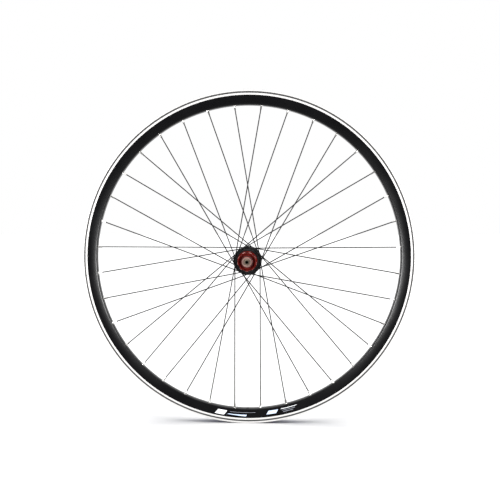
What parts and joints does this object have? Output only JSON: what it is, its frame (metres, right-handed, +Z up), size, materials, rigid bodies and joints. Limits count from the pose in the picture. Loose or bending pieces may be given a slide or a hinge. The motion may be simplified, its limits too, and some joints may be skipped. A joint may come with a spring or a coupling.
{
  "type": "bicycle rear wheel",
  "caption": "Bare spoked rear bicycle wheel with a deep black rim, silver brake tracks, black spokes, a black hub and a red freehub on a hollow axle.",
  "frame": {"origin": "the wheel's centre, on the axle line half way between the two dropout faces", "axes": "+Y along the axle from the drive side to the other side, +Z up with the valve hole at the bottom, +X to the right seen from the drive side"},
  "size_m": [0.6355, 0.146, 0.6356],
  "materials": {
    "bearing_steel": "ground and polished",
    "black_anodised": "gloss black anodised aluminium, with machined silver brake tracks",
    "cage_plastic": "moulded",
    "eyelet_steel": "pressed, bright",
    "freehub_red": "red anodised",
    "hub_black": "satin black anodised",
    "machined_aluminium": "turned, bright",
    "nipple_silver": "nickel plated",
    "seal_rubber": "moulded",
    "spoke_black": "black oxide stainless steel",
    "tape_plastic": "smooth",
    "tool_steel": "machined"
  },
  "bodies": {
    "axle": {"axle": "machined_aluminium", "right_end_cap": "machined_aluminium", "left_end_cap": "machined_aluminium", "centre_spacer": "machined_aluminium", "freehub_spacer": "machined_aluminium", "freehub_sleeve": "machined_aluminium", "hub_right_inner_race": "bearing_steel", "hub_left_inner_race": "bearing_steel", "freehub_outer_inner_race": "bearing_steel", "freehub_inner_inner_race": "bearing_steel"},
    "wheel": {"hub_shell": "hub_black", "ratchet_ring": "tool_steel", "hub_seal": "seal_rubber", "hub_right_outer_race": "bearing_steel", "hub_right_seals": "seal_rubber", "hub_left_outer_race": "bearing_steel", "hub_left_seals": "seal_rubber", "drive_outside_spokes": "spoke_black", "drive_inside_spokes": "spoke_black", "left_outside_spokes": "spoke_black", "left_inside_spokes": "spoke_black", "drive_nipples": "nipple_silver", "left_nipples": "nipple_silver", "drive_eyelets": "eyelet_steel", "left_eyelets": "eyelet_steel", "rim": "black_anodised", "rim_tape": "tape_plastic"},
    "freehub": {"freehub_body": "freehub_red", "freehub_race_spacer": "machined_aluminium", "freehub_outer_outer_race": "bearing_steel", "freehub_outer_seals": "seal_rubber", "freehub_inner_outer_race": "bearing_steel", "freehub_inner_seals": "seal_rubber", "pawl_springs": "tool_steel"},
    "hub_right_ball_set": {"hub_right_balls": "bearing_steel", "hub_right_cage": "cage_plastic"},
    "hub_left_ball_set": {"hub_left_balls": "bearing_steel", "hub_left_cage": "cage_plastic"},
    "freehub_outer_ball_set": {"freehub_outer_balls": "bearing_steel", "freehub_outer_cage": "cage_plastic"},
    "freehub_inner_ball_set": {"freehub_inner_balls": "bearing_steel", "freehub_inner_cage": "cage_plastic"},
    "pawl_1_body": {"pawl_1": "tool_steel"},
    "pawl_2_body": {"pawl_2": "tool_steel"},
    "pawl_3_body": {"pawl_3": "tool_steel"}
  },
  "joints": [
    {"name": "wheel_spin", "type": "hinge", "parent": "axle", "child": "wheel", "pos_m": [0, 0, 0], "axis": [0, 1, 0], "continuous": true},
    {"name": "freehub_spin", "type": "hinge", "parent": "axle", "child": "freehub", "pos_m": [0, -0.045, 0], "axis": [0, 1, 0], "continuous": true},
    {"name": "hub_right_balls_roll", "type": "hinge", "parent": "axle", "child": "hub_right_ball_set", "pos_m": [0, -0.008, 0], "axis": [0, 1, 0], "continuous": true},
    {"name": "hub_left_balls_roll", "type": "hinge", "parent": "axle", "child": "hub_left_ball_set", "pos_m": [0, 0.035, 0], "axis": [0, 1, 0], "continuous": true},
    {"name": "freehub_outer_balls_roll", "type": "hinge", "parent": "axle", "child": "freehub_outer_ball_set", "pos_m": [0, -0.053, 0], "axis": [0, 1, 0], "continuous": true},
    {"name": "freehub_inner_balls_roll", "type": "hinge", "parent": "axle", "child": "freehub_inner_ball_set", "pos_m": [0, -0.031, 0], "axis": [0, 1, 0], "continuous": true},
    {"name": "pawl_1_lift", "type": "hinge", "parent": "freehub", "child": "pawl_1_body", "pos_m": [0, -0.021, 0.0129], "axis": [0, -1, 0], "range_deg": [0, 15]},
    {"name": "pawl_2_lift", "type": "hinge", "parent": "freehub", "child": "pawl_2_body", "pos_m": [0.01117, -0.021, -0.00645], "axis": [0, -1, 0], "range_deg": [0, 15]},
    {"name": "pawl_3_lift", "type": "hinge", "parent": "freehub", "child": "pawl_3_body", "pos_m": [-0.01117, -0.021, -0.00645], "axis": [0, -1, 0], "range_deg": [0, 15]}
  ],
  "couplings": [
    {"joint": "hub_right_balls_roll", "follows": "wheel_spin", "ratio": 0.6322},
    {"joint": "hub_left_balls_roll", "follows": "wheel_spin", "ratio": 0.6322},
    {"joint": "freehub_outer_balls_roll", "follows": "freehub_spin", "ratio": 0.5992},
    {"joint": "freehub_inner_balls_roll", "follows": "freehub_spin", "ratio": 0.5992}
  ]
}
